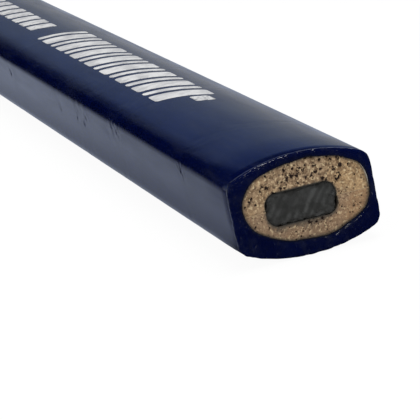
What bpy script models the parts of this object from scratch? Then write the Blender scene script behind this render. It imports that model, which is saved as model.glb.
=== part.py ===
"""Carpenter pencil, as an assembly: two grooved wood slats glued round a flat graphite lead, a primer coat and
a navy lacquer coat that both creep over the end rims, and a pressed-on white foil marking on one wide face.

Frame: +X runs along the pencil to its front end, Y across its width, +Z out of the marked wide face. The
origin is the middle of the pencil's length, width and thickness. Sizes are in metres.
"""

import math

import bmesh
import bpy

# Driving dimensions of the finished pencil
LENGTH = 0.175
WIDTH = 0.012
THICKNESS = 0.0084
CORNER_HEIGHT = 0.0057  # height of a narrow side, measured at its sharp corners before they are rounded
CORNER_RADIUS = 0.00115

# Coats, glue and the clearance that keeps neighbouring pieces apart
LACQUER = 0.00014
PRIMER = 0.00006
GLUE = 0.00006
GAP = 0.00002
RIM_RADIUS = 0.00012  # rounding of the lacquer where it turns over an end

# Lead, and the groove that holds it with a void at each edge
LEAD_WIDTH = 0.0056
LEAD_THICKNESS = 0.0026
LEAD_CORNER = 0.0010
LEAD_OFFSET = -0.0002  # the groove runs a little off the middle of the width
VOID = 0.00018

# Bare oval that the coats leave open on each end
WINDOW_WIDTH = 0.0106
WINDOW_HEIGHT = 0.0066
WINDOW_POWER = 2.2  # 2 is an ellipse, and more is squarer
WINDOW_CENTRE = (0.0002, 0.0003)
PRIMER_SHOWS = 0.0001  # how far the primer reaches past the lacquer into the oval

# Foil marking, laid out from the front end backwards
FOIL = 0.00003
FOIL_SLANT = math.radians(30)
BAR_START = 0.037
BAR_PAIRS = 8
WIDE_BAR = 0.0033
NARROW_BAR = 0.0014
BAR_HEIGHT = 0.0049
BAR_SPACE = 0.0012
BAR_CENTRE = 0.0002
BLOCK_START = 0.0995
BLOCK_HEIGHT = 0.0027
BLOCK_WIDTH = 0.0032
BLOCK_SPACE = 0.0011
BLOCK_COUNT = 9
BLOCK_CENTRE = -0.0003
EMBLEM_START = 0.0325
EMBLEM_LENGTH = 0.0030
EMBLEM_HEIGHT = 0.0016
EMBLEM_CENTRE = 0.0011

# Facets that stand for each curve, and for each flat where an outline needs points along it
SIDE_STEPS = 3
CROWN_STEPS = 7  # odd and few, so that the middle facet is wide enough for the light pencil to rest on
CORNER_STEPS = 5
RIM_STEPS = 3
FOIL_STEPS = 6

CREST = THICKNESS / 2
HALF_WIDTH = WIDTH / 2
CROWN = CREST - CORNER_HEIGHT / 2
CROWN_RADIUS = (HALF_WIDTH**2 + CROWN**2) / (2 * CROWN)
COATS = LACQUER + PRIMER + 2 * GAP
WOOD_END = LENGTH / 2 - COATS

MATERIALS = {
    "wood": ((0.44, 0.29, 0.15), 0.75, 0.0),
    "graphite": ((0.045, 0.045, 0.046), 0.5, 0.35),
    "glue": ((0.62, 0.50, 0.30), 0.45, 0.0),
    "primer": ((0.62, 0.62, 0.58), 0.7, 0.0),
    "lacquer": ((0.004, 0.008, 0.055), 0.18, 0.0),
    "foil": ((0.78, 0.79, 0.80), 0.4, 0.0),
}


def clear_scene():
    for obj in list(bpy.data.objects):
        bpy.data.objects.remove(obj)


def material(name):
    """The Principled material of that name, made when first asked for."""
    found = bpy.data.materials.get(name)
    if found:
        return found
    colour, roughness, metallic = MATERIALS[name]
    made = bpy.data.materials.new(name)
    made.use_nodes = True
    shader = made.node_tree.nodes["Principled BSDF"]
    shader.inputs["Base Color"].default_value = (*colour, 1.0)
    shader.inputs["Roughness"].default_value = roughness
    shader.inputs["Metallic"].default_value = metallic
    return made


def add_object(name, bm, slot, location, parent):
    """Puts a closed bmesh in the scene as one named piece."""
    bmesh.ops.recalc_face_normals(bm, faces=bm.faces)
    mesh = bpy.data.meshes.new(name)
    bm.to_mesh(mesh)
    bm.free()
    mesh.shade_smooth()
    mesh.set_sharp_from_angle(angle=math.radians(30))
    mesh.materials.append(material(slot))
    obj = bpy.data.objects.new(name, mesh)
    obj.location = location
    obj.parent = parent
    bpy.context.scene.collection.objects.link(obj)
    return obj


def arc(centre, radius, start, end, steps):
    """Points (y, z) on an arc, both ends included, with angles in degrees from +Y towards +Z."""
    turns = [math.radians(start + (end - start) * i / steps) for i in range(steps + 1)]
    return [(centre[0] + radius * math.cos(t), centre[1] + radius * math.sin(t)) for t in turns]


def upper_section(inset):
    """The section's upper half, from the middle of the right flat over the crown, moved in by inset."""
    corner_y = HALF_WIDTH - CORNER_RADIUS
    lean = math.degrees(math.asin(corner_y / (CROWN_RADIUS - CORNER_RADIUS)))
    crown_centre = CREST - CROWN_RADIUS
    corner_z = crown_centre + (CROWN_RADIUS - CORNER_RADIUS) * math.cos(math.radians(lean))
    corner = CORNER_RADIUS - inset
    right = arc((corner_y, corner_z), corner, 0, 90 - lean, CORNER_STEPS)
    crown = arc((0, crown_centre), CROWN_RADIUS - inset, 90 - lean, 90 + lean, CROWN_STEPS)
    left = arc((-corner_y, corner_z), corner, 90 + lean, 180, CORNER_STEPS)
    heights = [corner_z * step / SIDE_STEPS for step in range(SIDE_STEPS)]
    flat_y = HALF_WIDTH - inset
    right_flat = [(flat_y, z) for z in heights]
    left_flat = [(-flat_y, z) for z in reversed(heights[1:])]
    return right_flat + right + crown[1:-1] + left + left_flat


def section(inset):
    """The whole outline of the pencil's section, moved in by inset, anticlockwise seen from the front end."""
    upper = upper_section(inset)
    return upper + [(-y, -z) for y, z in upper]


def crown_height(y):
    """Height of the marked face above the origin at a place across the width."""
    return CREST - CROWN_RADIUS + math.sqrt(CROWN_RADIUS**2 - y * y)


def rounded_rectangle(width, height, radius, steps=CORNER_STEPS):
    """Outline of a rectangle with rounded corners, anticlockwise from the right-hand side."""
    y = width / 2 - radius
    z = height / 2 - radius
    points = []
    for centre, start in (((y, z), 0), ((-y, z), 90), ((-y, -z), 180), ((y, -z), 270)):
        points += arc(centre, radius, start, start + 90, steps)
    return points


def window(grow):
    """The bare oval on an end, grown outwards, with one point on each ray to a point of the section."""
    half_y = WINDOW_WIDTH / 2 + grow
    half_z = WINDOW_HEIGHT / 2 + grow
    points = []
    for y, z in section(0):
        turn = math.atan2(z - WINDOW_CENTRE[1], y - WINDOW_CENTRE[0])
        c, s = math.cos(turn), math.sin(turn)
        reach = (abs(c / half_y) ** WINDOW_POWER + abs(s / half_z) ** WINDOW_POWER) ** (-1 / WINDOW_POWER)
        points.append((WINDOW_CENTRE[0] + reach * c, WINDOW_CENTRE[1] + reach * s))
    return points


def prism(name, outline, half_length, slot, parent, y=0.0, z=0.0):
    """A straight piece of one outline, centred along the pencil."""
    bm = bmesh.new()
    back = bm.faces.new([bm.verts.new((-half_length, *point)) for point in outline])
    grown = bmesh.ops.extrude_face_region(bm, geom=[back])
    moved = [item for item in grown["geom"] if isinstance(item, bmesh.types.BMVert)]
    bmesh.ops.translate(bm, verts=moved, vec=(2 * half_length, 0, 0))
    return add_object(name, bm, slot, (0, y, z), parent)


def slat(name, side, parent):
    """One half of the casing. side is 1 for the marked half and -1 for the other."""
    seam = GLUE / 2 + GAP
    outer = [point for point in upper_section(COATS) if point[1] > seam]
    half_y = HALF_WIDTH - COATS
    groove = rounded_rectangle(
        LEAD_WIDTH + 2 * VOID, LEAD_THICKNESS + 2 * (GLUE + 2 * GAP), LEAD_CORNER
    )
    inside = [(y + LEAD_OFFSET, z) for y, z in groove if z > seam]
    mouth = [(inside[-1][0], seam), *reversed(inside), (inside[0][0], seam)]
    outline = [(half_y, seam), *outer, (-half_y, seam), *mouth]
    return prism(name, [(y, side * z) for y, z in outline], WOOD_END, "wood", parent)


def glue_strip(name, width, parent, y=0.0, z=0.0):
    """A flat strip of cured glue as long as the wood."""
    half_y = width / 2
    half_z = GLUE / 2
    outline = [(half_y, half_z), (-half_y, half_z), (-half_y, -half_z), (half_y, -half_z)]
    return prism(name, outline, WOOD_END, "glue", parent, y, z)


def glue_seam(name, side, parent):
    """The cured glue between the slats, on one side of the lead. side is 1 towards +Y."""
    outer = HALF_WIDTH - COATS
    inner = side * LEAD_OFFSET + LEAD_WIDTH / 2 + VOID
    return glue_strip(name, outer - inner, parent, y=side * (outer + inner) / 2)


def glue_bed(name, side, parent):
    """The cured glue between a flat face of the lead and the floor of its groove. side is 1 towards +Z."""
    height = side * (LEAD_THICKNESS / 2 + GAP + GLUE / 2)
    return glue_strip(name, LEAD_WIDTH - 2 * LEAD_CORNER, parent, y=LEAD_OFFSET, z=height)


def lead(parent):
    outline = rounded_rectangle(LEAD_WIDTH, LEAD_THICKNESS, LEAD_CORNER)
    return prism("graphite_lead", outline, WOOD_END, "graphite", parent, y=LEAD_OFFSET)


def coat(name, inset, thickness, rim, show, slot, parent):
    """A coat that covers the sides and turns over both end rims as a lip round the bare oval.

    inset is how far the coat's outside lies inside the finished pencil, and show how far its lip reaches
    into the oval.
    """
    end = LENGTH / 2 - inset
    opening = window(-show)
    front = [(end, opening)]
    for step in range(RIM_STEPS + 1):
        turn = math.radians(90 * step / RIM_STEPS)
        front.append((end - rim * (1 - math.cos(turn)), section(inset + rim * (1 - math.sin(turn)))))
    outside = front + [(-x, ring) for x, ring in reversed(front)]
    inner = section(inset + thickness)
    edge = end - thickness
    inside = [(-edge, opening), (-edge, inner), (edge, inner), (edge, opening)]
    bm = bmesh.new()
    loops = [[bm.verts.new((x, *point)) for point in ring] for x, ring in outside + inside]
    for first, second in zip(loops, loops[1:] + loops[:1]):
        for i in range(len(first)):
            bm.faces.new([first[i - 1], first[i], second[i], second[i - 1]])
    return add_object(name, bm, slot, (0, 0, 0), parent)


def foil_patch(name, start, length, height, centre, parent):
    """A thin patch on the crown that slants forwards. start is its distance from the front end."""
    middle_x = LENGTH / 2 - start - length / 2
    bm = bmesh.new()
    rows = []
    for step in range(FOIL_STEPS + 1):
        y = centre + height * (step / FOIL_STEPS - 0.5)
        x = (y - centre) * math.tan(FOIL_SLANT)
        z = crown_height(y) + GAP
        ends = (x + length / 2, x - length / 2)
        rows.append([bm.verts.new((e, y - centre, z + up - CREST)) for e in ends for up in (0, FOIL)])
    for first, second in zip(rows, rows[1:]):
        for a, b in ((0, 1), (1, 3), (3, 2), (2, 0)):
            bm.faces.new([first[a], first[b], second[b], second[a]])
    for row in (rows[0], rows[-1]):
        bm.faces.new([row[0], row[1], row[3], row[2]])
    return add_object(name, bm, "foil", (middle_x, centre, CREST), parent)


def foil_marking(parent):
    """Wide and narrow slanted bars by turns, a row of small blocks behind them and a small patch in front."""
    foil_patch("foil_emblem", EMBLEM_START, EMBLEM_LENGTH, EMBLEM_HEIGHT, EMBLEM_CENTRE, parent)
    start = BAR_START
    for number in range(1, BAR_PAIRS + 1):
        for kind, width in (("wide", WIDE_BAR), ("narrow", NARROW_BAR)):
            foil_patch(f"foil_{kind}_bar_{number}", start, width, BAR_HEIGHT, BAR_CENTRE, parent)
            start += width + BAR_SPACE
    for number in range(BLOCK_COUNT):
        start = BLOCK_START + number * (BLOCK_WIDTH + BLOCK_SPACE)
        foil_patch(f"foil_block_{number + 1}", start, BLOCK_WIDTH, BLOCK_HEIGHT, BLOCK_CENTRE, parent)


def main():
    clear_scene()
    pencil = bpy.data.objects.new("carpenter_pencil", None)
    bpy.context.scene.collection.objects.link(pencil)
    slat("upper_slat", 1, pencil)
    slat("lower_slat", -1, pencil)
    lead(pencil)
    glue_seam("glue_seam_right", 1, pencil)
    glue_seam("glue_seam_left", -1, pencil)
    glue_bed("glue_bed_upper", 1, pencil)
    glue_bed("glue_bed_lower", -1, pencil)
    coat("primer_coat", LACQUER + GAP, PRIMER, PRIMER / 2, PRIMER_SHOWS, "primer", pencil)
    coat("lacquer_coat", 0.0, LACQUER, RIM_RADIUS, 0.0, "lacquer", pencil)
    foil_marking(pencil)


main()
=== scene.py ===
"""Looks of the carpenter pencil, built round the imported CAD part.

Frame: +X runs along the pencil to its front end, Y across its width, +Z out of the marked wide face. Sizes
are in metres. The visible pieces are remade here at full detail: the lacquer skin with its rounded rims and
dents, the primer that shows at its edge, the cut ends of the two slats and of the lead, and the foil marking.
"""

import math

import bpy
import numpy as np
from mathutils import Matrix, Vector

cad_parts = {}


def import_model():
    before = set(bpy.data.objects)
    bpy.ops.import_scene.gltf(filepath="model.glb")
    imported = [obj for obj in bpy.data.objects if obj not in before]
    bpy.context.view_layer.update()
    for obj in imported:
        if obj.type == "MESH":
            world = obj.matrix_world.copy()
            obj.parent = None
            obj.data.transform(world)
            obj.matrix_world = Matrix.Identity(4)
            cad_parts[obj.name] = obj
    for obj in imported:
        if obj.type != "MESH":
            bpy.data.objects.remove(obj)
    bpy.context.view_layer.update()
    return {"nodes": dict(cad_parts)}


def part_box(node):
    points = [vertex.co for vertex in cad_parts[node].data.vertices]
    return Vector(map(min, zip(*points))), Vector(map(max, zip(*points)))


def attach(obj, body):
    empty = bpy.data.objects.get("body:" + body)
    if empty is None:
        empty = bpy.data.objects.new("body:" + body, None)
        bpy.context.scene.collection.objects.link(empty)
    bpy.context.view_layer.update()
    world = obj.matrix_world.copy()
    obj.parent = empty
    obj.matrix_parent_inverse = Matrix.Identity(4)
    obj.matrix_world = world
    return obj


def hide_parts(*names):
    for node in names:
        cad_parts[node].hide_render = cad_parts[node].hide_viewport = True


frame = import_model()

MM = 0.001
SHARP_EDGE = math.radians(50)  # faces that meet at more than this are shaded with an edge

# The pencil's outside, read from the frame, and the rounding that the section shares with the CAD part
END, HALF_WIDTH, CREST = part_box("lacquer_coat")[1]
CORNER_HEIGHT = 5.7 * MM
CORNER_RADIUS = 1.15 * MM
FLAT_STEPS = 24
CORNER_STEPS = 14
CROWN_STEPS = 28

# The wood, its groove, the glue and the lead, read from the frame
WOOD_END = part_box("upper_slat")[1].x
COATS = HALF_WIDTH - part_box("upper_slat")[1].y
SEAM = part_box("glue_seam_right")[1].z
LEAD_LOW, LEAD_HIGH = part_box("graphite_lead")
LEAD_CENTRE = (LEAD_LOW.y + LEAD_HIGH.y) / 2
GROOVE_HALF_WIDTH = LEAD_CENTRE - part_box("glue_seam_left")[1].y
GROOVE_HALF_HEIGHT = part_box("glue_bed_upper")[1].z
GROOVE_CORNER = 1.0 * MM
GROOVE_WALL = 0.01 * MM  # half the width over which the groove's side wall rises in the mesh

# Lacquer skin: its thickness, its rounded rim, and how far its mean surface lies inside the outline
LACQUER = 0.14 * MM
RIM_RADIUS = 0.24 * MM
RIM_UNEVEN = 0.14  # share of the radius
RELIEF = 0.012 * MM

# The lip of lacquer on each end sinks towards its inner edge, where it is thin and loses its blue
LIP_FALL = 0.85  # share of the thickness
LIP_FALL_REACH = 0.35 * MM
THIN_REACH = 0.12 * MM
FAR_FROM_LIP = 2 * MM  # here the lacquer has its full colour

RIPPLE_TOP = 1.5  # few ripples go past this

# Ripples: seed of the random draws, shortest and longest wave in millimetres, and number of waves
BODY_WAVES = (11, 4, 16, 14)
ORANGE_PEEL = (12, 0.6, 1.8, 14)
RIM_LUMPS = (13, 0.4, 1.2, 14)
DENT_WANDER = (14, 0.3, 0.9, 14)
SIDE_WAVES = (15, 1.4, 4, 14)
WOOD_FIBRES = (71, 0.12, 0.5, 24)
SAW_MARKS = (72, 0.25, 0.9, 14)
PORE_OUTLINES = (75, 0.08, 0.3, 14)
LEAD_CRUMBS = (82, 0.10, 0.45, 22)
LEAD_EDGES = (83, 0.3, 1.2, 14)
LEAD_CHIPS = (84, 0.25, 0.8, 14)
LEAD_STREAKS = (86, 0.25, 1.3, 18)
FOIL_EDGES = (91, 0.15, 0.9, 14)

# Wobbles round an end: number that the side of the end is added to for the seed, and fewest and most waves
OVAL_WOBBLE = (3, 4, 26)
RIM_WOBBLE = (30, 6, 30)
PRIMER_WOBBLE = (50, 3, 18)

# Heights of the lacquer's ripples
BODY_HEIGHT = 0.004 * MM
PEEL_HEIGHT = 0.0016 * MM
LUMPS_HEIGHT = 0.022 * MM
SIDE_HEIGHT = 0.005 * MM

# Where two of them are: the lumps by distance from the end, and the side's by share of the half width
LUMPS_PLACE = 0.1 * MM
LUMPS_SPREAD = 0.35 * MM
SIDE_EDGES = (0.90, 0.99)

# The lacquer's lower corner on the -Y side is drawn in near the ends: how deep, the Y that it lies past, its
# height, its spread up and down, and its length
LOW_CORNER_DEPTH = 0.09 * MM
LOW_CORNER_LIMIT = -5 * MM
LOW_CORNER_HEIGHT = -2.3 * MM
LOW_CORNER_SPREAD = 0.9 * MM
LOW_CORNER_LENGTH = 2.5 * MM

# Steps over the lip and the rim, and places of the skin's rings along the body
LIP_STEPS = 16
LIP_CROWDING = 1.6  # more than 1 crowds the rings towards the inner edge
RIM_STEPS = 10
BODY_RINGS = 71
END_RINGS = (0.06, 0.14, 0.24, 0.36, 0.5, 0.7, 0.9)  # millimetres in from the rim
DENT_SPACING = 0.14 * MM
CLOSEST_RINGS = 0.03 * MM

# Bump of the lacquer. DRAWN_IN leans the surface in towards each end, over both of the lengths
PEEL_BUMP = 0.0040 * MM
GRAIN_BUMP = 0.0012 * MM
DUST_BUMP = 0.003 * MM
LUMP_BUMP = 0.07 * MM
PUCKER_BUMP = 0.15 * MM
DRAWN_IN = 0.30 * MM
DRAWN_IN_LENGTHS = (8 * MM, 2 * MM)

# Bare oval on each end: an ellipse made squarer, and swells in it as angle, spread and share of its reach
OVAL_HALF_WIDTH = 5.25 * MM
OVAL_HALF_HEIGHT = 3.22 * MM
OVAL_POWER = 2.2
OVAL_CENTRE = (0.2 * MM, 0.3 * MM)
OVAL_UNEVEN = 0.009
OVAL_SWELLS = [
    (20, 13, 0.04),
    (42, 14, 0.03),
    (75, 12, 0.03),
    (155, 18, 0.02),
    (215, 28, -0.055),
    (262, 18, -0.025),
    (298, 15, 0.02),
    (320, 16, -0.03),
    (342, 12, 0.025),
]

# Dents in the lacquer of the -Y side, in millimetres and degrees:
# distance from the front end, height, half length, half width, lean, depth
DENTS = [
    (15.75, 1.95, 0.42, 0.20, -48, 0.043),
    (16.6, 2.10, 0.30, 0.19, -30, 0.027),
    (15.2, 1.40, 0.26, 0.22, -60, 0.024),
    (42.2, 2.10, 0.50, 0.30, -18, 0.041),
    (40.4, 1.80, 0.48, 0.28, -25, 0.038),
    (41.2, 2.35, 0.32, 0.22, -10, 0.021),
    (39.5, 1.45, 0.30, 0.24, 30, 0.021),
    (54.0, 1.30, 0.26, 0.24, -40, 0.025),
    (55.5, 0.65, 0.32, 0.29, -30, 0.047),
    (58.4, 1.00, 0.32, 0.26, -35, 0.034),
    (66.5, 0.60, 0.26, 0.24, 30, 0.021),
    (92.8, 1.35, 0.40, 0.26, -30, 0.043),
]
DENT_BENDS = 0.7  # how much a dent's line wanders, as a share of its half width
DENT_UNEVEN = 0.3
DENT_RIDGES = ((0.4, 1.9), (0.3, -1.9))  # raised beside a dent: share of its depth, and place in half widths
DENT_RIDGE_WIDTH = 0.9
DENT_RINGS_REACH = 1.6  # the skin's rings stand close together this far past a dent, as a share of its size

# Primer: the gaps to its neighbours and to the wood's end, its thickness at its edge, and how far past the
# oval its upper face and its underside start
PRIMER_GAP = 0.02 * MM
PRIMER_END_GAP = 0.004 * MM
PRIMER_EDGE = 0.006 * MM
PRIMER_UPPER_START = 0.1 * MM
PRIMER_UNDER_START = 0.05 * MM

# Its fringe, in millimetres: how far it hides under the lacquer's edge, how far its patches come out, and the
# levels of its wobble between which they do, and the reach, angle and spread in degrees of its widest place
PRIMER_HIDDEN = 0.04
PRIMER_PATCHES = 0.07
PRIMER_LEVELS = (0.6, 1.6)
PRIMER_FRINGE = (0.11, 12, 9)

# Ends of the slats: points across each, relief in millimetres, and slant of the saw marks
SLAT_ROWS = 100
SLAT_COLUMNS = 300
PIT_DEPTH = 0.11
FIBRE_RELIEF = 0.006
SAW_RELIEF = 0.003
SAW_SLANT = 0.35
EDGE_SHADE_REACH = 0.17  # millimetres in from the lacquer's edge that the painted shade on the wood reaches

# Graphite smeared on the wood round the lead, with painted shade reaching further below it, in millimetres:
# reach all round, and humps of more reach under the lead as amount, place across and spread
SMEAR_AND_SHADE_REACH = 0.09
SMEAR_AND_SHADE_HUMPS = ((0.42, 0.4, 1.4), (0.32, -2.2, 0.9))
SMEAR_AND_SHADE_RAGGED = 0.4  # share of the reach that the fibres add or take

# Small pores of the upper slat (1) and the lower (-1), in millimetres: middle radius, how many places are
# drawn, the chance of a pore at any of them, what one patch adds to it, and the patch's place and its spread
SMALL_PORES = {
    1: (0.092, 850, 0.05, 0.95, (0.6, 2.4), (2.7, 1.1)),
    -1: (0.045, 900, 0.25, 0.5, (0, -1.7), (2.5, 0.5)),
}
PORE_SEED = 60
PORE_REACH = (5.6, 3.9)  # how far from the centre the places lie
PORE_SIZES = 0.3  # how much the radii vary
PORE_SHALLOWEST = 0.35  # share of the full depth
PORE_RAGGED = 0.4

# Large pores of the front end, in millimetres: place across, place up, radius
LARGE_PORES = [
    (-1.1, 2.95, 0.13),
    (-0.6, 2.35, 0.14),
    (1.4, 2.25, 0.12),
    (1.9, 1.6, 0.13),
    (-2.75, 1.9, 0.13),
    (3.0, 1.27, 0.13),
    (3.2, 1.36, 0.12),
    (-4.15, 1.35, 0.09),
    (-4.75, 0.8, 0.08),
    (0.2, -1.65, 0.11),
    (0.75, -1.7, 0.09),
    (1.3, -1.55, 0.10),
]

# Ends of the lead: points across each, and slope of the cut streaks in degrees
LEAD_ROWS = 70
LEAD_COLUMNS = 130
STREAK_SLOPE = 55
STREAK_CHANGE = 0.06  # how fast a streak changes along its length, against across it

# Its relief, in millimetres: depth and reach of the worn edge and of the chips, levels of the chips' ripple
# between which they deepen, height of streaks and crumbs, and reach of the painted shade along its edge
LEAD_WORN = (0.07, 0.13)
LEAD_CHIPPED = (0.10, 0.4)
LEAD_CHIP_LEVELS = (0.4, 1.2)
LEAD_RELIEF = 0.006
LEAD_EDGE_SHADE_REACH = 0.28
LEAD_RAGGED = 0.5

# Voids beside the lead, in millimetres: clearance all along, then depth, height and spread of each void
VOID_CLEARANCE = 0.02
LEFT_VOID = (0.16, 0.5, 0.4)
RIGHT_VOID = (0.22, -0.5, 0.42)

# Foil marking, pressed on as separate patches
FOIL_SLANT = math.radians(30)
FOIL_CORNER = 0.35 * MM
FOIL_CORNER_SHARES = (0.9, 0.45)  # the most that a corner takes of a patch's half length and height
FOIL_ROWS = 34
FOIL_COLUMNS = 8  # at least
FOIL_SPACING = 0.2 * MM
FOIL_TOP = 0.032 * MM  # over the lacquer
FOIL_BASE = 0.005 * MM  # the underside lies at half of this
FOIL_RAGGED = 0.012 * MM
FOIL_THINNED = 0.06 * MM  # how far in from its edge
FOIL_THINNING = 0.8  # share of its thickness
FOIL_APART = 9 * MM  # between where the ripple is read for a patch's two ends
FOIL_WEAR = {"bar": 0.0, "block": 0.07, "emblem": 0.13}

# Colours, linear
NAVY = (0.0004, 0.0019, 0.022)
NAVY_LIGHT = (0.0007, 0.0026, 0.028)
NAVY_DUST = (0.012, 0.015, 0.035)
NAVY_THIN = (0.006, 0.007, 0.009)
PRIMER_DARK = (0.22, 0.19, 0.15)
PRIMER_PALE = (0.38, 0.35, 0.31)
WOOD_BRIGHT = (0.66, 0.52, 0.31)
# Painted shade inside the wood's pores
PORE_SHADE = (0.024, 0.010, 0.006)
GLUE_DARK = (0.27, 0.19, 0.105)
GLUE_PALE = (0.38, 0.27, 0.16)
GLUE_STAINED = (0.030, 0.026, 0.021)
# Grey of graphite dust; on the wood it is also painted shade along the lacquer's edge and below the lead
DUST_AND_SHADE = (0.045, 0.040, 0.032)
LEAD_DARK = (0.038, 0.039, 0.038)
LEAD_PALE = (0.071, 0.073, 0.072)
LEAD_CLOUD = (0.024, 0.025, 0.023)
# Painted shade along the lead's edges
LEAD_EDGE_SHADE = (0.018, 0.017, 0.014)
FOIL_GREY = (0.47, 0.47, 0.475)
FOIL_WHITE = (0.65, 0.65, 0.645)
PAPER = (0.86, 0.86, 0.86)
WHITE = (1, 1, 1)

# The two woods: colours, how strong their mottling is, and the size of their specks
OPEN_PORED_WOOD = {
    "pale": (0.44, 0.31, 0.185),
    "warm": (0.49, 0.325, 0.165),
    "dark": (0.12, 0.066, 0.030),
    "contrast": 1.0,
    "speck_size": 0.42 * MM,
}
FINE_WOOD = {
    "pale": (0.32, 0.22, 0.135),
    "warm": (0.36, 0.22, 0.112),
    "dark": (0.15, 0.085, 0.046),
    "contrast": 0.70,
    "speck_size": 0.30 * MM,
}

# Studio: the colours that the lacquer mirrors, by height from the horizon (0) up to overhead (1)
HORIZON = [
    (0.0, (0.38, 0.385, 0.39)),
    (0.05, (0.275, 0.295, 0.33)),
    (0.10, (0.20, 0.23, 0.28)),
    (0.15, (0.15, 0.185, 0.255)),
    (0.20, (0.11, 0.15, 0.245)),
    (0.25, (0.075, 0.11, 0.22)),
    (0.30, (0.045, 0.075, 0.18)),
    (0.40, (0.008, 0.014, 0.03)),
    (1.0, (0.006, 0.008, 0.014)),
]

# Dark cards stand beyond the rear end on the -Y side and all round the camera. These are their soft edges,
# as parts of a direction: the two edges of the rear card by Y, and the front card's by X
REAR_CARD = (0.025, 0.068)
REAR_CARD_OUTER = (-0.36, -0.50)
FRONT_CARD = (0.80, 0.55)
SKY_LIGHT = (0.25, 0.95)  # light from the horizon and from overhead

# Painted reflection of the floor, seen only in the lacquer: dark in front of the pencil's end, and brighter
# from the first place to the second, as places along X and the brightness at each
FLOOR_SIZE = 2.0
FLOOR_POINTS = 9
FLOOR_GAP = 0.02 * MM
FLOOR_COLOUR = (0.31, 0.35, 0.45)
FLOOR_EDGES = (0.087, 0.074)
FLOOR_RISE = (0.08, -0.05, 0.92, 1.28)
FLOOR_SHADING = 0.05  # share of the floor's real shading that the camera sees

# Floor brightness in the painted reflection, by place across it, in millimetres. The dip beside the pencil is
# its painted shadow
FLOOR_GLOW = [
    (-60, 0.10),
    (-35, 0.26),
    (-16, 0.54),
    (-12.4, 0.82),
    (-11, 1.0),
    (-9.7, 0.80),
    (-8.4, 0.62),
    (-7.0, 0.72),
    (-6, 0.80),
    (6, 0.60),
    (12, 1.0),
    (60, 1.0),
]

# Square lights facing the front end: place from it, width, watts, and whether the lacquer mirrors them
LIGHTS = {
    "key": ((-0.05, 0.10, 0.46), 0.20, 1.15, False),
    "glint": ((0.11, 0.012, 0.46), 0.07, 0.36, True),
    "fill": ((0.35, -0.25, 0.25), 0.30, 0.42, False),
    "spark": ((0.45, 0.02, 0.06), 0.02, 0.026, True),
}

# Camera, with angles in degrees, lens and sensor in millimetres, and its place from the front end's middle
CAMERA_TURN = -12.22
CAMERA_RISE = 11.93
CAMERA_ROLL = -11.39
CAMERA_OFFSET = (0.2331, -0.0580, 0.0517)
CAMERA_LENS = 266.0
CAMERA_SENSOR = 36
CAMERA_SHIFT = (-0.0031, 0.0008)
CAMERA_NEAR = 0.01


# ---- values that vary smoothly


def ripple(points, seed, shortest, longest, count):
    """Smooth random height at each point, about -1 to 1, as a sum of sine waves in random directions.

    The shortest and the longest wave are in millimetres.
    """
    draw = np.random.default_rng(seed)
    total = np.zeros(points.shape[:-1])
    for _ in range(count):
        direction = draw.normal(size=3)
        direction /= np.linalg.norm(direction)
        length = MM * math.exp(draw.uniform(math.log(shortest), math.log(longest)))
        total += np.sin(points @ direction * (2 * math.pi / length) + draw.uniform(0, 2 * math.pi))
    return total / math.sqrt(count)


def wobble(turn, side, seed, fewest, most):
    """Smooth random value round a closed outline on one end, about -1 to 1."""
    draw = np.random.default_rng(seed + side)
    total = np.zeros_like(turn)
    for count in range(fewest, most + 1):
        weight = draw.normal() * math.sqrt(fewest / count)
        total += weight * np.sin(count * turn + draw.uniform(0, 2 * math.pi))
    return total / math.sqrt(most - fewest)


def hump(distance, width):
    """1 at no distance, falling smoothly to 0."""
    return np.exp(-((distance / width) ** 2))


def smooth(low, high, value):
    """0 below low, 1 above high, and smooth between."""
    t = np.clip((value - low) / (high - low), 0, 1)
    return t * t * (3 - 2 * t)


def degrees_from(turn, place):
    """How far each angle, in radians, is from a place in degrees, as -180 to 180 degrees."""
    return (np.degrees(turn) - place + 180) % 360 - 180


# ---- the pencil's section


def arc(centre, radius, start, end, steps):
    """Points on an arc and the normals there, with angles in degrees from +Y towards +Z."""
    turn = np.radians(np.linspace(start, end, steps + 1))
    normals = np.stack([np.cos(turn), np.sin(turn)], axis=1)
    return np.array(centre) + radius * normals, normals


def section():
    """Outline of the pencil and its outward normals, anticlockwise seen from the front end."""
    crown = CREST - CORNER_HEIGHT / 2
    crown_radius = (HALF_WIDTH**2 + crown**2) / (2 * crown)
    crown_centre = CREST - crown_radius
    corner_y = HALF_WIDTH - CORNER_RADIUS
    lean = math.degrees(math.asin(corner_y / (crown_radius - CORNER_RADIUS)))
    corner_z = crown_centre + (crown_radius - CORNER_RADIUS) * math.cos(math.radians(lean))
    heights = np.linspace(0, corner_z, FLAT_STEPS + 1)[:-1]
    flat = np.stack([np.full_like(heights, HALF_WIDTH), heights], axis=1)
    flat_normals = np.tile([1.0, 0.0], (len(flat), 1))
    corner, corner_normals = arc((corner_y, corner_z), CORNER_RADIUS, 0, 90 - lean, CORNER_STEPS)
    top, top_normals = arc((0, crown_centre), crown_radius, 90 - lean, 90, CROWN_STEPS)
    points = np.concatenate([flat, corner, top[1:]])
    normals = np.concatenate([flat_normals, corner_normals, top_normals[1:]])
    closed = []
    for quarter in (points, normals):
        upper = np.concatenate([quarter, (quarter * (-1, 1))[-2:0:-1]])
        closed.append(np.concatenate([upper, -upper]))
    return closed


OUTLINE, OUTLINE_NORMALS = section()
OUTLINE_TURN = np.arctan2(OUTLINE[:, 1], OUTLINE[:, 0])
OUTWARD = np.column_stack([np.zeros(len(OUTLINE)), OUTLINE_NORMALS])


def crown_height(y, inset=0.0):
    """Height of the pencil's upper outline at places across it, moved in by inset."""
    upper = (OUTLINE - inset * OUTLINE_NORMALS)[OUTLINE_NORMALS[:, 1] > 0.01][::-1]
    return np.interp(y, upper[:, 0], upper[:, 1])


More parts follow.
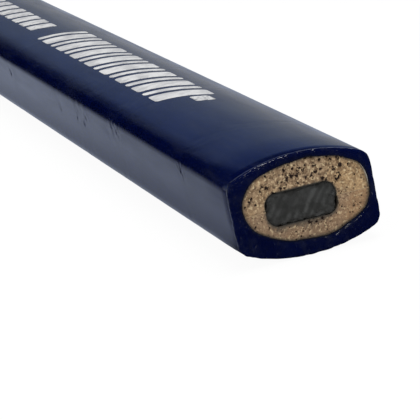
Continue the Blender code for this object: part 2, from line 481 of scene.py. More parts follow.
def oval(side, grow=0.0):
    """Edge of the bare oval on one end, with one point for each point of the outline."""
    centre = np.array(OVAL_CENTRE)
    spokes = OUTLINE - centre
    turn = np.arctan2(spokes[:, 1], spokes[:, 0])
    across = np.abs(np.cos(turn)) / OVAL_HALF_WIDTH
    up = np.abs(np.sin(turn)) / OVAL_HALF_HEIGHT
    reach = (across**OVAL_POWER + up**OVAL_POWER) ** (-1 / OVAL_POWER)
    share = 1 + OVAL_UNEVEN * wobble(turn, side, *OVAL_WOBBLE)
    for place, spread, amount in OVAL_SWELLS:
        share += amount * hump(degrees_from(turn, side * place), spread)
    reach = reach * share + grow
    return centre + reach[:, None] * np.stack([np.cos(turn), np.sin(turn)], axis=1)


# ---- meshes


def new_object(name, data):
    """An object in the scene with this mesh, light or camera."""
    thing = bpy.data.objects.new(name, data)
    bpy.context.scene.collection.objects.link(thing)
    return thing


def add_piece(name, verts, faces, values, stands_for, material):
    """Puts a mesh in the scene as a piece of the pencil that stands for some CAD nodes.

    values are named numbers, one per vertex, for its material to read.
    """
    mesh = bpy.data.meshes.new(name)
    mesh.from_pydata(verts.tolist(), [], faces.tolist())
    for label, numbers in values.items():
        attribute = mesh.attributes.new(label, "FLOAT", "POINT")
        attribute.data.foreach_set("value", numbers.astype(np.float32).ravel())
    mesh.shade_smooth()
    mesh.set_sharp_from_angle(angle=SHARP_EDGE)
    mesh.materials.append(material)
    piece = new_object(name, mesh)
    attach(piece, "root")
    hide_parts(*stands_for)


def ring(x, across):
    """A ring of points: one place along the pencil, or one for each point, and their places across it."""
    return np.column_stack([np.broadcast_to(x, len(across)), across])


def ring_faces(rings, count):
    """Quads of a shell made of closed rings, joined in turn and back to the first."""
    first = np.arange(rings)[:, None] * count
    second = np.roll(first, -1, axis=0)
    place = np.arange(count)[None, :]
    after = np.roll(place, -1, axis=1)
    return np.stack([first + place, second + place, second + after, first + after], axis=-1).reshape(-1, 4)


def grid_faces(index):
    """Quads between neighbouring points of a grid, from the points' numbers by row and column."""
    corners = [index[:-1, :-1], index[:-1, 1:], index[1:, 1:], index[1:, :-1]]
    return np.stack(corners, axis=-1).reshape(-1, 4)


def grid_solid(front, back):
    """Vertices and faces of a solid between two grids of points, rows by columns by three."""
    rows, columns = front.shape[:2]
    size = rows * columns
    index = np.arange(size).reshape(rows, columns)
    quads = grid_faces(index)
    edge = np.concatenate([index[0, :-1], index[:-1, -1], index[-1, :0:-1], index[:0:-1, 0]])
    after = np.roll(edge, -1)
    walls = np.stack([edge, edge + size, after + size, after], axis=-1)
    faces = np.concatenate([quads, quads[:, ::-1] + size, walls])
    return np.concatenate([front.reshape(-1, 3), back.reshape(-1, 3)]), faces


# ---- lacquer and primer


def dent_depth(points):
    """How deep the dents go. Each is a short groove that leans, with a low ridge on both sides."""
    wander = ripple(points, *DENT_WANDER)
    total = np.zeros(points.shape[:-1])
    for distance, height, half_length, half_width, lean, deep in DENTS:
        along = points[..., 0] - (END - distance * MM)
        up = points[..., 2] - height * MM
        cosine, sine = math.cos(math.radians(lean)), math.sin(math.radians(lean))
        run = (along * cosine + up * sine) / (half_length * MM)
        cross = (up * cosine - along * sine) / (half_width * MM) + DENT_BENDS * wander
        near = hump(run, 1.0) * (points[..., 1] < 0) * (1 + DENT_UNEVEN * wander)
        profile = hump(cross, 1.0)
        for share, place in DENT_RIDGES:
            profile -= share * hump(cross - place, DENT_RIDGE_WIDTH)
        total += deep * MM * near * profile
    return total


def skin_depth(points):
    """How far the lacquer's surface lies below the outline: waves, lumps on the rims, and dents."""
    from_end = END - np.abs(points[..., 0])
    depth = RELIEF + BODY_HEIGHT * ripple(points, *BODY_WAVES) + PEEL_HEIGHT * ripple(points, *ORANGE_PEEL)
    depth += LUMPS_HEIGHT * ripple(points, *RIM_LUMPS) * hump(from_end - LUMPS_PLACE, LUMPS_SPREAD)
    on_side = smooth(*SIDE_EDGES, np.abs(points[..., 1]) / HALF_WIDTH)
    depth += SIDE_HEIGHT * on_side * ripple(points, *SIDE_WAVES)
    low_corner = hump(points[..., 2] - LOW_CORNER_HEIGHT, LOW_CORNER_SPREAD)
    low_corner *= hump(from_end, LOW_CORNER_LENGTH) * (points[..., 1] < LOW_CORNER_LIMIT)
    depth += LOW_CORNER_DEPTH * low_corner
    return np.maximum(depth + dent_depth(points), 0)


def stations():
    """Places along the body for the skin's rings, close together at the ends and at the dents."""
    start = END - RIM_RADIUS
    spots = list(np.linspace(-start, start, BODY_RINGS)[1:-1])
    for side in (-1, 1):
        spots += [side * (start - distance * MM) for distance in END_RINGS]
    for distance, _, half_length, half_width, lean, _ in DENTS:
        reach = (half_length * abs(math.cos(math.radians(lean))) + 3 * half_width) * DENT_RINGS_REACH * MM
        centre = END - distance * MM
        spots += list(np.arange(centre - reach, centre + reach, DENT_SPACING))
    spots = np.sort(np.array(spots))
    keep = np.concatenate([[True], np.diff(spots) > CLOSEST_RINGS])
    return spots[keep][::-1]


def end_rings(side):
    """Rings from the bare oval's edge over the rim to the body, with normals and distances from that edge."""
    rim = RIM_RADIUS * (1 + RIM_UNEVEN * wobble(OUTLINE_TURN, side, *RIM_WOBBLE))
    edge = oval(side)
    start = OUTLINE - rim[:, None] * OUTLINE_NORMALS
    width = np.linalg.norm(start - edge, axis=1)
    straight = np.tile([side, 0.0, 0.0], (len(edge), 1))
    places, normals, distances = [], [], []
    for step in range(LIP_STEPS):
        t = (step / LIP_STEPS) ** LIP_CROWDING
        fall = LACQUER * LIP_FALL * (1 - t) ** 2 * np.exp(-t * width / LIP_FALL_REACH)
        places.append(ring(side * (END - fall), edge + (start - edge) * t))
        normals.append(straight)
        distances.append(t * width)
    for step in range(RIM_STEPS):
        turned = math.radians(90 * step / RIM_STEPS)
        flat = OUTLINE - rim[:, None] * (1 - math.sin(turned)) * OUTLINE_NORMALS
        places.append(ring(side * (END - rim * (1 - math.cos(turned))), flat))
        normals.append(math.cos(turned) * straight + math.sin(turned) * OUTWARD)
        distances.append(width + rim * step / RIM_STEPS)
    return places, normals, distances


def lacquer_skin(material):
    """The navy lacquer, from the lip on one end to the lip on the other, as one closed shell."""
    far = np.full(len(OUTLINE), FAR_FROM_LIP)
    places, normals, distances = end_rings(1)
    for x in stations():
        places.append(ring(x, OUTLINE))
        normals.append(OUTWARD)
        distances.append(far)
    rear_places, rear_normals, rear_distances = end_rings(-1)
    places = np.stack(places + rear_places[::-1])
    normals = np.stack(normals + rear_normals[::-1])
    surface = places - skin_depth(places)[..., None] * normals
    inner = OUTLINE - LACQUER * OUTLINE_NORMALS
    inside = [(-1, oval(-1)), (-1, inner), (1, inner), (1, oval(1))]
    rings = [*surface, *(ring(side * (END - LACQUER), across) for side, across in inside)]
    distances += rear_distances[::-1] + [far] * len(inside)
    thin = np.exp(-np.stack(distances) / THIN_REACH)
    verts = np.concatenate(rings)
    faces = ring_faces(len(rings), len(OUTLINE))
    add_piece("lacquer_skin", verts, faces, {"thin": thin}, ["lacquer_coat"], material)


def primer_skin(material):
    """The pale primer under the lacquer. It shows in a few places past the lacquer's edge."""
    outer = OUTLINE - (LACQUER + PRIMER_GAP) * OUTLINE_NORMALS
    inner = OUTLINE - (COATS - PRIMER_GAP) * OUTLINE_NORMALS
    top = END - LACQUER - PRIMER_GAP
    bottom = WOOD_END + PRIMER_END_GAP
    reach, angle, spread = PRIMER_FRINGE
    rings = []
    for side in (1, -1):
        patches = smooth(*PRIMER_LEVELS, wobble(OUTLINE_TURN, side, *PRIMER_WOBBLE))
        fringe = hump(degrees_from(OUTLINE_TURN, side * angle), spread)
        shows = MM * (PRIMER_PATCHES * patches - PRIMER_HIDDEN + reach * fringe)
        edges = [
            (bottom + PRIMER_EDGE, oval(side, -shows)),
            ((bottom + top) / 2, oval(side, -0.5 * shows)),
            (top, oval(side, PRIMER_UPPER_START)),
            (top, outer),
        ]
        rings += [ring(side * x, across) for x, across in edges[::side]]
    rear, front = oval(-1, PRIMER_UNDER_START), oval(1, PRIMER_UNDER_START)
    for side, across in ((-1, rear), (-1, inner), (1, inner), (1, front)):
        rings.append(ring(side * bottom, across))
    verts = np.concatenate(rings)
    faces = ring_faces(len(rings), len(OUTLINE))
    add_piece("primer_skin", verts, faces, {}, ["primer_coat"], material)


# ---- wood, lead and foil


def end_pores(side, end, large):
    """Pores in one end of one slat, as place across, place up, radius and depth, with the large ones last.

    The upper slat's pores gather above the lead. The lower has finer ones, with more of them under the lead.
    """
    draw = np.random.default_rng(PORE_SEED + side + 2 * end)
    middle, count, anywhere, added, patch, spread = SMALL_PORES[side]
    y = draw.uniform(-PORE_REACH[0], PORE_REACH[0], count)
    z = draw.uniform(-PORE_REACH[1], PORE_REACH[1], count)
    radius = middle * np.exp(draw.normal(0, PORE_SIZES, count))
    deep = draw.uniform(PORE_SHALLOWEST, 1.0, count)
    chance = anywhere + added * hump(y - patch[0], spread[0]) * hump(z - patch[1], spread[1])
    kept = draw.uniform(0, 1, count) < chance
    pits = list(zip(y[kept], z[kept], radius[kept], deep[kept]))
    pits += [(pit_y, pit_z, pit_radius, 1.0) for pit_y, pit_z, pit_radius in large if pit_z * side > 0]
    return np.array(pits) * (MM, MM, MM, 1)


def pit_field(y, z, pits):
    """How deep in a pore each point lies, 0 to 1. The pores are ragged, not round."""
    field = np.zeros_like(y)
    ragged = 1 + PORE_RAGGED * ripple(np.stack([y, z, y * 0], axis=-1), *PORE_OUTLINES)
    for pit_y, pit_z, radius, deep in pits:
        close = (abs(y - pit_y) < 3 * radius) & (abs(z - pit_z) < 3 * radius)
        distance = np.hypot(y[close] - pit_y, z[close] - pit_z) / radius * ragged[close]
        field[close] = np.maximum(field[close], deep * np.exp(-(distance**3)))
    return field


def within_oval(side, y, z):
    """Distance from the lacquer's edge on one end, in from it, for places on that end."""
    edge = oval(side) - OVAL_CENTRE
    turn = np.arctan2(edge[:, 1], edge[:, 0])
    order = np.argsort(turn)
    reach = np.hypot(edge[:, 0], edge[:, 1])
    off_y = y - OVAL_CENTRE[0]
    off_z = z - OVAL_CENTRE[1]
    there = np.interp(np.arctan2(off_z, off_y), turn[order], reach[order], period=2 * math.pi)
    return there - np.hypot(off_y, off_z)


def from_groove(y, z):
    """Distance outside the groove that the lead lies in, for places on an end. It is 0 or less inside."""
    past_y = np.maximum(np.abs(y - LEAD_CENTRE) - GROOVE_HALF_WIDTH + GROOVE_CORNER, 0)
    past_z = np.maximum(np.abs(z) - GROOVE_HALF_HEIGHT + GROOVE_CORNER, 0)
    return np.hypot(past_y, past_z) - GROOVE_CORNER


def slat_grid(side):
    """Places across one slat's end as two arrays, y and z, rows by columns."""
    half = HALF_WIDTH - COATS
    reaches = (GROOVE_HALF_WIDTH - GROOVE_WALL, GROOVE_HALF_WIDTH + GROOVE_WALL)
    walls = [LEAD_CENTRE + way * reach for way in (-1, 1) for reach in reaches]
    columns = np.unique(np.concatenate([np.linspace(-half, half, SLAT_COLUMNS), walls]))
    off = np.abs(columns - LEAD_CENTRE)
    past = np.clip(off - (GROOVE_HALF_WIDTH - GROOVE_CORNER), 0, GROOVE_CORNER)
    roof = GROOVE_HALF_HEIGHT - GROOVE_CORNER + np.sqrt(GROOVE_CORNER**2 - past**2)
    low = np.where(off < GROOVE_HALF_WIDTH, np.maximum(roof, SEAM), SEAM)
    high = crown_height(columns, COATS)
    share = np.linspace(0, 1, SLAT_ROWS)[:, None]
    return np.broadcast_to(columns, (SLAT_ROWS, len(columns))), side * (low + (high - low) * share)


def slat(name, side, stands_for, material):
    """One half of the casing, with pores, saw marks and fibres in the relief of its cut ends."""
    y, z = slat_grid(side)
    grids, pore_shade_values, smear_and_shade_values, edge_shade_values = [], [], [], []
    for end, large in ((1, LARGE_PORES), (-1, [])):
        across = y if end > 0 else -y
        pit = pit_field(across, z, end_pores(side, end, large))
        fibres = ripple(np.stack([y * 0, across, z], axis=-1), *WOOD_FIBRES)
        marks = ripple(np.stack([y * 0, z + SAW_SLANT * y, z * 0], axis=-1), *SAW_MARKS)
        depth = MM * (PIT_DEPTH * pit + FIBRE_RELIEF * (RIPPLE_TOP + fibres) + SAW_RELIEF * (1 + marks))
        grids.append(np.stack([end * (WOOD_END - np.maximum(depth, 0)), y, z], axis=-1))
        # How deep each point lies in a pore, which also sets the painted shade in the pores
        pore_shade_values.append(pit)
        # Painted shade on the wood just inside the lacquer's edge
        edge_shade_values.append(hump(np.maximum(within_oval(end, y, z) / MM, 0), EDGE_SHADE_REACH))
        # Below the lead the darkening reaches further, as painted shade
        more = sum(amount * hump(across / MM - place, spread) for amount, place, spread in SMEAR_AND_SHADE_HUMPS)
        reach = (SMEAR_AND_SHADE_REACH + more * (z < 0)) * (1 + SMEAR_AND_SHADE_RAGGED * fibres)
        smear_and_shade_values.append(hump(np.maximum(from_groove(across, z) / MM, 0), reach))
    verts, faces = grid_solid(*grids)
    if side < 0:
        faces = faces[:, ::-1]
    values = {"pore_shade": np.stack(pore_shade_values), "smear_and_shade": np.stack(smear_and_shade_values), "rim": np.stack(edge_shade_values)}
    add_piece(name, verts, faces, values, stands_for, material)


def lead_edges(z):
    """The lead's two edges across the pencil at each height, with the voids it leaves in its groove."""
    past = np.clip(np.abs(z) - (GROOVE_HALF_HEIGHT - GROOVE_CORNER), 0, GROOVE_CORNER)
    reach = GROOVE_HALF_WIDTH - GROOVE_CORNER + np.sqrt(GROOVE_CORNER**2 - past**2)
    left, right = (
        MM * (VOID_CLEARANCE + deep * hump(z / MM - height, spread))
        for deep, height, spread in (LEFT_VOID, RIGHT_VOID)
    )
    return LEAD_CENTRE - reach + left, LEAD_CENTRE + reach - right


def lead(material):
    """The graphite core, with cut streaks and chipped, worn edges on its ends."""
    height = LEAD_HIGH.z
    z = np.linspace(-height, height, LEAD_ROWS)[:, None] * np.ones(LEAD_COLUMNS)
    left, right = lead_edges(z)
    y = left + (right - left) * np.linspace(0, 1, LEAD_COLUMNS)[None, :]
    inside = np.minimum(np.minimum(y - left, right - y), height - np.abs(z)) / MM
    cosine, sine = math.cos(math.radians(STREAK_SLOPE)), math.sin(math.radians(STREAK_SLOPE))
    worn_depth, worn_reach = LEAD_WORN
    chip_depth, chip_reach = LEAD_CHIPPED
    grids, streak_values, edge_shade_values = [], [], []
    for end in (1, -1):
        across = y if end > 0 else -y
        place = np.full_like(z, end * MM)
        track = np.stack([across * sine - z * cosine, place, STREAK_CHANGE * (across * cosine + z)], axis=-1)
        flat = np.stack([place, across, z], axis=-1)
        streak = ripple(track, *LEAD_STREAKS)
        crumbs = ripple(flat, *LEAD_CRUMBS)
        ragged = np.maximum(1 + LEAD_RAGGED * ripple(flat, *LEAD_EDGES), 0.1)
        worn = worn_depth * hump(inside, worn_reach * ragged)
        chips = chip_depth * smooth(*LEAD_CHIP_LEVELS, ripple(flat, *LEAD_CHIPS)) * hump(inside, chip_reach)
        depth = MM * (worn + chips + LEAD_RELIEF * (2 * RIPPLE_TOP + streak + crumbs))
        grids.append(np.stack([end * (WOOD_END - np.maximum(depth, 0)), y, z], axis=-1))
        streak_values.append(streak)
        # Painted shade along the lead's worn edges
        edge_shade_values.append(hump(np.maximum(inside, 0), LEAD_EDGE_SHADE_REACH * ragged))
    verts, faces = grid_solid(*grids)
    values = {"streak": np.stack(streak_values), "rim": np.stack(edge_shade_values)}
    add_piece("lead_core", verts, faces, values, ["graphite_lead"], material)


def foil_patch(node, material):
    """One patch of the foil marking, with rounded corners, pressed onto the lacquer."""
    low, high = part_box(node)
    tall = high.y - low.y
    lean = tall * math.tan(FOIL_SLANT)
    half_length = (high.x - low.x - lean) / 2
    corner = min(FOIL_CORNER, half_length * FOIL_CORNER_SHARES[0], tall * FOIL_CORNER_SHARES[1])
    columns = max(FOIL_COLUMNS, round(2 * half_length / FOIL_SPACING))
    v = np.linspace(0, 1, FOIL_ROWS)[:, None] * np.ones(columns)
    u = np.linspace(-1, 1, columns)[None, :] * np.ones((FOIL_ROWS, 1))
    y = low.y + tall * v
    from_edge = np.minimum(y - low.y, high.y - y)
    short = corner - np.sqrt(corner**2 - np.clip(corner - from_edge, 0, corner) ** 2)
    middle = (low.x + high.x) / 2 + (v - 0.5) * lean
    # The ripple is read at places set apart for each patch and for its two ends, so no two edges match
    spots = np.stack([np.sign(u) * FOIL_APART + low.x, y + low.x, y * 0 + low.x], axis=-1)
    ragged = FOIL_RAGGED * ripple(spots, *FOIL_EDGES)
    x = middle + u * (half_length - short) + np.sign(u) * np.abs(u) ** 4 * ragged
    z = crown_height(y)
    surface = z - skin_depth(np.stack([x, y, z], axis=-1))
    near_edge = np.minimum(half_length * (1 - np.abs(u)), from_edge)
    top = surface + FOIL_BASE + (FOIL_TOP - FOIL_BASE) * (1 - FOIL_THINNING * hump(near_edge, FOIL_THINNED))
    front = np.stack([x, y, top], axis=-1)
    back = np.stack([x, y, surface + FOIL_BASE / 2], axis=-1)
    verts, faces = grid_solid(front, back)
    wear = next(amount for kind, amount in FOIL_WEAR.items() if kind in node)
    values = {"inside": np.stack([near_edge / MM] * 2), "wear": np.full(len(verts), wear)}
    add_piece("print_" + node.removeprefix("foil_"), verts, faces, values, [node], material)


# ---- materials


def add(tree, kind, inputs=None, **settings):
    """A node of one kind, with its settings, and its inputs set or linked by name."""
    node = tree.nodes.new("ShaderNode" + kind)
    for name, value in settings.items():
        setattr(node, name, value)
    for name, value in (inputs or {}).items():
        if isinstance(value, bpy.types.NodeSocket):
            tree.links.new(value, node.inputs[name])
        else:
            node.inputs[name].default_value = value
    return node


def new_material(name):
    """An empty node material and its node tree."""
    material = bpy.data.materials.new(name)
    material.use_nodes = True
    material.node_tree.nodes.clear()
    return material, material.node_tree


def stretched(tree, stretch=(1, 1, 1), turn=(0, 0, 0)):
    """The place on the pencil, in metres, turned and then stretched."""
    place = add(tree, "TexCoord").outputs["Object"]
    turned = add(tree, "Mapping", {"Vector": place, "Rotation": turn})
    return add(tree, "VectorMath", {0: turned.outputs[0], 1: stretch}, operation="MULTIPLY").outputs[0]


def axes_of(tree, vector):
    """The parts of a place or direction, by axis."""
    return add(tree, "SeparateXYZ", {0: vector}).outputs


def noise(tree, place, size, detail=3.0, rough=0.55):
    """Smooth random value, 0 to 1, with features of about one size."""
    inputs = {"Vector": place, "Scale": 1 / size, "Detail": detail, "Roughness": rough}
    return add(tree, "TexNoise", inputs).outputs["Fac"]


def levels(tree, value, low, high, to_low=0.0, to_high=1.0):
    """The value's range from low to high, spread smoothly over another range."""
    inputs = {"Value": value, "From Min": low, "From Max": high, "To Min": to_low, "To Max": to_high}
    return add(tree, "MapRange", inputs, interpolation_type="SMOOTHSTEP").outputs["Result"]


def maths(tree, operation, first, second=0.0):
    """The result of one operation on two values, or on the first alone."""
    return add(tree, "Math", {0: first, 1: second}, operation=operation).outputs[0]


def value_of(tree, label):
    """A number stored on the mesh's vertices."""
    return add(tree, "Attribute", attribute_name=label).outputs["Fac"]


def mixed(tree, share, first, second, blend="MIX"):
    """A colour between two, or one laid on the other."""
    inputs = {0: share}
    for socket, colour in ((6, first), (7, second)):
        inputs[socket] = colour if isinstance(colour, bpy.types.NodeSocket) else (*colour, 1)
    return add(tree, "Mix", inputs, data_type="RGBA", blend_type=blend).outputs[2]


def tinted(tree, colour, tint, value, share):
    """The colour with a tint laid over it where the value is high. At 1 the tint covers this share of it."""
    return mixed(tree, maths(tree, "MULTIPLY", value, share), colour, tint)


def bumped(tree, heights):
    """Bump normals from pairs of a value and its height in metres, laid over each other."""
    normal = None
    for value, height in heights:
        inputs = {"Height": value, "Distance": height, "Strength": 1.0}
        if normal:
            inputs["Normal"] = normal
        normal = add(tree, "Bump", inputs).outputs[0]
    return normal


def finish_material(tree, shader, output="OutputMaterial"):
    """Sends a shader to the tree's output."""
    tree.links.new(shader.outputs[0], add(tree, output).inputs["Surface"])


def finish_surface(tree, colour, rough, heights, **more):
    """Ends a material with one surface of a colour, a roughness and bumps, and with more shader inputs."""
    inputs = {"Base Color": colour, "Roughness": rough, "Normal": bumped(tree, heights), **more}
    finish_material(tree, add(tree, "BsdfPrincipled", inputs))


def lacquer_material():
    """Cloudy navy with haze and dust in it, orange peel all over, and lumps and puckers on its rims."""
    material, tree = new_material("navy_lacquer")
    place = stretched(tree)
    along = stretched(tree, stretch=(0.12, 1, 1))
    cloudy = levels(tree, noise(tree, place, size=5 * MM), low=0.35, high=0.65)
    body = mixed(tree, cloudy, NAVY, NAVY_LIGHT)
    haze = levels(tree, noise(tree, along, size=0.9 * MM, detail=4.0, rough=0.65), low=0.45, high=0.75)
    body = tinted(tree, body, NAVY_DUST, haze, share=0.5)
    dust = levels(tree, noise(tree, place, size=0.22 * MM, detail=1.0), low=0.68, high=0.78)
    body = tinted(tree, body, NAVY_DUST, dust, share=0.7)
    colour = mixed(tree, value_of(tree, "thin"), body, NAVY_THIN)
    rough = levels(tree, noise(tree, along, size=1.2 * MM), low=0.3, high=0.7, to_low=0.11, to_high=0.17)
    peel = noise(tree, place, size=0.55 * MM, detail=2.0)
    grain = noise(tree, along, size=0.22 * MM, detail=2.0)
    axes = axes_of(tree, place)
    from_middle = maths(tree, "ABSOLUTE", axes["X"])
    drawn_in, close_in = (
        levels(tree, from_middle, low=END - length, high=END + length) for length in DRAWN_IN_LENGTHS
    )
    at_rim = levels(tree, from_middle, low=END - 2 * RIM_RADIUS, high=END - RIM_RADIUS)
    at_top = levels(tree, axes["Z"], low=-1.0 * MM, high=2.5 * MM, to_low=0.3)
    at_side = levels(tree, axes["Y"], low=-3.6 * MM, high=-5.0 * MM)
    lumps = noise(tree, place, size=0.45 * MM, detail=1.0)
    lumps = maths(tree, "MULTIPLY", maths(tree, "MULTIPLY", at_rim, at_top), lumps)
    puckers = noise(tree, place, size=0.35 * MM, detail=1.0)
    puckers = maths(tree, "MULTIPLY", maths(tree, "MULTIPLY", at_rim, at_side), puckers)
    heights = [
        (peel, PEEL_BUMP),
        (grain, GRAIN_BUMP),
        (dust, DUST_BUMP),
        (drawn_in, -DRAWN_IN),
        (lumps, LUMP_BUMP),
        (puckers, PUCKER_BUMP),
        (close_in, -DRAWN_IN),
    ]
    finish_surface(tree, colour, rough, heights, IOR=1.5)
    return material


def primer_material():
    """Chalky, pale primer."""
    material, tree = new_material("pale_primer")
    chalk = noise(tree, stretched(tree), size=0.15 * MM, detail=4.0)
    colour = mixed(tree, levels(tree, chalk, low=0.3, high=0.7), PRIMER_DARK, PRIMER_PALE)
    finish_surface(tree, colour, 0.75, [(chalk, 0.01 * MM)])
    return material


def wood_material(name, pale, warm, dark, contrast, speck_size):
    """End grain and long grain: mottled ground, warm patches, pores darkened with painted shade, the grey of
    graphite dust round the lead with painted shade below it, and painted shade along the lacquer's edge.
    """
    material, tree = new_material(name)
    grain = stretched(tree, stretch=(0.03, 1, 1))
    rays = stretched(tree, stretch=(0.03, 0.25, 1), turn=(math.radians(-25), 0, 0))
    axes = axes_of(tree, stretched(tree))
    warmer = levels(tree, axes["Y"], low=1 * MM, high=5 * MM, to_low=-0.08, to_high=0.25)
    patches = maths(tree, "ADD", noise(tree, grain, size=2.2 * MM), warmer)
    ground = mixed(tree, levels(tree, patches, low=0.35, high=0.72), pale, warm)
    shade = levels(tree, axes["Y"], low=-6 * MM, high=-2 * MM, to_low=0.30, to_high=0.0)
    ground = mixed(tree, shade, ground, dark)
    from_seam = maths(tree, "ABSOLUTE", axes["Z"])
    coarse = levels(tree, from_seam, low=0.5 * MM, high=2.2 * MM, to_low=0.6 * contrast, to_high=contrast)
    mottle = levels(tree, noise(tree, grain, size=0.30 * MM, rough=0.6), low=0.36, high=0.62)
    ground = tinted(tree, ground, dark, mottle, share=maths(tree, "MULTIPLY", coarse, 0.8))
    fibres = levels(tree, noise(tree, grain, size=0.14 * MM, rough=0.7), low=0.38, high=0.66)
    ground = tinted(tree, ground, dark, fibres, share=0.45)
    lines = levels(tree, noise(tree, rays, size=0.16 * MM), low=0.48, high=0.7)
    ground = tinted(tree, ground, dark, lines, share=0.3)
    bright = levels(tree, noise(tree, grain, size=0.26 * MM, detail=2.0), low=0.54, high=0.68)
    ground = tinted(tree, ground, WOOD_BRIGHT, bright, share=maths(tree, "MULTIPLY", coarse, 0.85))
    cells = add(tree, "TexVoronoi", {"Vector": grain, "Scale": 1 / speck_size, "Randomness": 1.0})
    specks = levels(tree, cells.outputs["Distance"], low=0.12, high=0.32, to_low=1.0, to_high=0.0)
    # Fine pores: specks darkened with the pores' painted shade
    ground = tinted(tree, ground, PORE_SHADE, specks, share=0.55)
    # Grey of graphite dust round the lead, with painted shade where it reaches further below the lead
    ground = tinted(tree, ground, DUST_AND_SHADE, value_of(tree, "smear_and_shade"), share=0.85)
    # Painted shade: the wood darkens just inside the lacquer's edge
    ground = tinted(tree, ground, DUST_AND_SHADE, value_of(tree, "rim"), share=0.75)
    # Painted shade inside the pores, darkest where they are deepest
    colour = mixed(tree, levels(tree, value_of(tree, "pore_shade"), low=0.06, high=0.6), ground, PORE_SHADE)
    finish_surface(tree, colour, 0.8, [(fibres, 0.008 * MM), (specks, -0.02 * MM)])
    return material


def graphite_material():
    """Satin grey with cut streaks, darker clouds, and painted shade along its edges."""
    material, tree = new_material("graphite")
    place = stretched(tree)
    streak = levels(tree, value_of(tree, "streak"), low=-1.2, high=1.4)
    colour = mixed(tree, streak, LEAD_DARK, LEAD_PALE)
    cloud = levels(tree, noise(tree, place, size=0.9 * MM), low=0.42, high=0.60)
    colour = tinted(tree, colour, LEAD_CLOUD, cloud, share=0.65)
    # Painted shade darkens the lead along its edges
    colour = tinted(tree, colour, LEAD_EDGE_SHADE, value_of(tree, "rim"), share=0.6)
    grain = noise(tree, place, size=0.07 * MM)
    rough = levels(tree, grain, low=0.3, high=0.7, to_low=0.42, to_high=0.62)
    finish_surface(tree, colour, rough, [(grain, 0.006 * MM)], Metallic=0.15)
    return material


def glue_material(name, dark, pale):
    """Set glue, a little patchy."""
    material, tree = new_material(name)
    patchy = noise(tree, stretched(tree), size=0.4 * MM)
    colour = mixed(tree, levels(tree, patchy, low=0.3, high=0.7), dark, pale)
    finish_surface(tree, colour, 0.5, [(patchy, 0.01 * MM)])
    return material


def foil_material():
    """White foil: slightly satin, with a few pinholes, more of them near its edges."""
    material, tree = new_material("white_foil")
    place = stretched(tree)
    tone = levels(tree, noise(tree, place, size=1.5 * MM), low=0.35, high=0.65)
    colour = mixed(tree, tone, FOIL_GREY, FOIL_WHITE)
    edge = levels(tree, value_of(tree, "inside"), low=0.02, high=0.22, to_low=0.10, to_high=0.0)
    pits = maths(tree, "ADD", noise(tree, place, size=0.25 * MM, rough=0.65), edge)
    holes = levels(tree, maths(tree, "ADD", pits, value_of(tree, "wear")), low=0.68, high=0.74)
    colour = tinted(tree, colour, NAVY_LIGHT, holes, share=0.7)
    grain = noise(tree, place, size=0.2 * MM)
    rough = levels(tree, grain, low=0.3, high=0.7, to_low=0.35, to_high=0.5)
    finish_surface(tree, colour, rough, [(grain, 0.002 * MM)])
    return material


# ---- floor, light and camera


def shader_mix(tree, share, first, second):
    """One shader mixed with another, which has the share."""
    node = add(tree, "MixShader", {0: share})
    tree.links.new(first.outputs[0], node.inputs[1])
    tree.links.new(second.outputs[0], node.inputs[2])
    return node


def for_rays(tree, rest, glossy, camera):
    """One shader for what the lacquer mirrors, another for the camera, and another for the rest."""
    for flag, shader in (("Is Glossy Ray", glossy), ("Is Camera Ray", camera)):
        rest = shader_mix(tree, add(tree, "LightPath").outputs[flag], rest, shader)
    return rest


def set_stops(ramp, stops):
    """Fills a colour ramp with places from 0 to 1 and their colours."""
    elements = ramp.color_ramp.elements
    while len(elements) < len(stops):
        elements.new(0.5)
    for element, (place, colour) in zip(elements, stops):
        element.position = place
        element.color = (*colour, 1)


def floor_material():
    """White to the eye, paper as light, and in the lacquer a painted reflection of a floor of uneven
    brightness, with the pencil's shadow painted in.
    """
    material, tree = new_material("pale_floor")
    axes = axes_of(tree, add(tree, "TexCoord").outputs["Object"])
    ahead = levels(tree, axes["X"], *FLOOR_EDGES)
    ahead = maths(tree, "MULTIPLY", ahead, levels(tree, axes["X"], *FLOOR_RISE))
    first, last = FLOOR_GLOW[0][0] * MM, FLOOR_GLOW[-1][0] * MM
    spread = add(tree, "MapRange", {"Value": axes["Y"], "From Min": first, "From Max": last})
    glow = add(tree, "ValToRGB", {0: spread.outputs["Result"]})
    set_stops(glow, [((y * MM - first) / (last - first), (value,) * 3) for y, value in FLOOR_GLOW])
    colour = mixed(tree, 1.0, FLOOR_COLOUR, glow.outputs[0], blend="MULTIPLY")
    mirrored = add(tree, "Emission", {"Color": colour, "Strength": ahead})
    seen = add(tree, "Emission", {"Color": (*WHITE, 1), "Strength": 1.0})
    paper = add(tree, "BsdfDiffuse", {"Color": (*PAPER, 1)})
    finish_material(tree, for_rays(tree, paper, mirrored, shader_mix(tree, FLOOR_SHADING, seen, paper)))
    material.cycles.emission_sampling = "NONE"
    return material


def floor():
    """A large, pale floor just under the pencil."""
    line = np.linspace(-FLOOR_SIZE, FLOOR_SIZE, FLOOR_POINTS)
    x, y = np.meshgrid(line, line)
    verts = np.stack([x, y, x * 0], axis=-1).reshape(-1, 3)
    mesh = bpy.data.meshes.new("floor")
    mesh.from_pydata(verts.tolist(), [], grid_faces(np.arange(x.size).reshape(x.shape)).tolist())
    mesh.materials.append(floor_material())
    sheet = new_object("floor", mesh)
    sheet.location = (0, 0, -CREST - FLOOR_GAP)


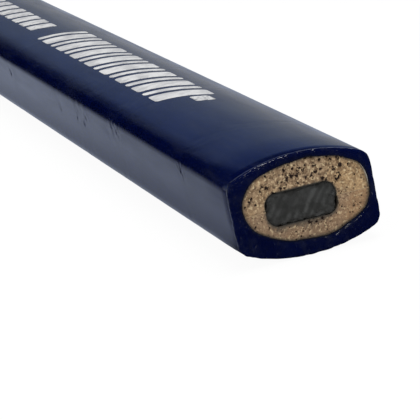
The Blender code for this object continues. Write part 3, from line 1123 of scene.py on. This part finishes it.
def world():
    """White to the eye, soft grey as light, and in the lacquer a pale horizon with dark cards round it."""
    studio = bpy.data.worlds.new("studio")
    studio.use_nodes = True
    tree = studio.node_tree
    tree.nodes.clear()
    axes = axes_of(tree, add(tree, "TexCoord").outputs["Generated"])
    horizon = add(tree, "ValToRGB", {0: axes["Z"]})
    set_stops(horizon, HORIZON)
    beside_card = levels(tree, axes["Y"], *REAR_CARD)
    beyond_card = levels(tree, axes["Y"], *REAR_CARD_OUTER)
    open_sky = maths(tree, "MAXIMUM", beside_card, beyond_card)
    open_sky = maths(tree, "MULTIPLY", open_sky, levels(tree, axes["X"], *FRONT_CARD))
    overhead = levels(tree, axes["Z"], 0.0, 1.0, *SKY_LIGHT)
    seen = add(tree, "Background", {"Color": (*WHITE, 1), "Strength": 1.0})
    light = add(tree, "Background", {"Color": (*WHITE, 1), "Strength": overhead})
    mirrored = add(tree, "Background", {"Color": horizon.outputs[0], "Strength": open_sky})
    finish_material(tree, for_rays(tree, light, mirrored, seen), "OutputWorld")
    studio.cycles.sampling_method = "NONE"
    bpy.context.scene.world = studio


def softbox(name, offset, width, watts, mirrored):
    """A square area light at an offset from the front end, turned to face it, that lacquer may mirror."""
    data = bpy.data.lights.new(name, "AREA")
    data.shape = "SQUARE"
    data.size = width
    data.energy = watts
    light = new_object(name, data)
    light.location = Vector((END, 0, 0)) + Vector(offset)
    light.rotation_mode = "QUATERNION"
    light.rotation_quaternion = (-Vector(offset)).to_track_quat("-Z", "Y")
    light.visible_glossy = mirrored


def camera():
    """Looks down the pencil from in front of its front end, a little to the left and above."""
    turn, rise = math.radians(CAMERA_TURN), math.radians(CAMERA_RISE)
    back = Vector((math.cos(turn) * math.cos(rise), math.sin(turn) * math.cos(rise), math.sin(rise)))
    roll = Matrix.Rotation(math.radians(CAMERA_ROLL), 3, "Z")
    data = bpy.data.cameras.new("camera")
    data.sensor_width = CAMERA_SENSOR
    data.lens = CAMERA_LENS
    data.shift_x, data.shift_y = CAMERA_SHIFT
    data.clip_start = CAMERA_NEAR
    eye = new_object("camera", data)
    eye.location = Vector((END, 0, 0)) + Vector(CAMERA_OFFSET)
    eye.rotation_mode = "QUATERNION"
    eye.rotation_quaternion = ((-back).to_track_quat("-Z", "Y").to_matrix() @ roll).to_quaternion()
    bpy.context.scene.camera = eye


# ---- build


def main():
    """Builds the pencil's visible pieces, gives the CAD's glue its materials, and sets up the studio."""
    lacquer_skin(lacquer_material())
    primer_skin(primer_material())
    upper = wood_material("open_pored_wood", **OPEN_PORED_WOOD)
    lower = wood_material("fine_wood", **FINE_WOOD)
    slat("upper_slat_wood", 1, ["upper_slat"], upper)
    slat("lower_slat_wood", -1, ["lower_slat"], lower)
    lead(graphite_material())
    clean_glue = glue_material("cured_glue", GLUE_DARK, GLUE_PALE)
    stained_glue = glue_material("stained_glue", DUST_AND_SHADE, GLUE_STAINED)
    foil = foil_material()
    for node, cad_part in sorted(frame["nodes"].items()):
        if node.startswith("glue_seam"):
            cad_part.data.materials[0] = clean_glue
        elif node.startswith("glue_bed"):
            cad_part.data.materials[0] = stained_glue
        elif node.startswith("foil_"):
            foil_patch(node, foil)
    floor()
    world()
    for name, settings in LIGHTS.items():
        softbox(name, *settings)
    camera()
    bpy.context.scene.view_settings.view_transform = "Standard"


main()
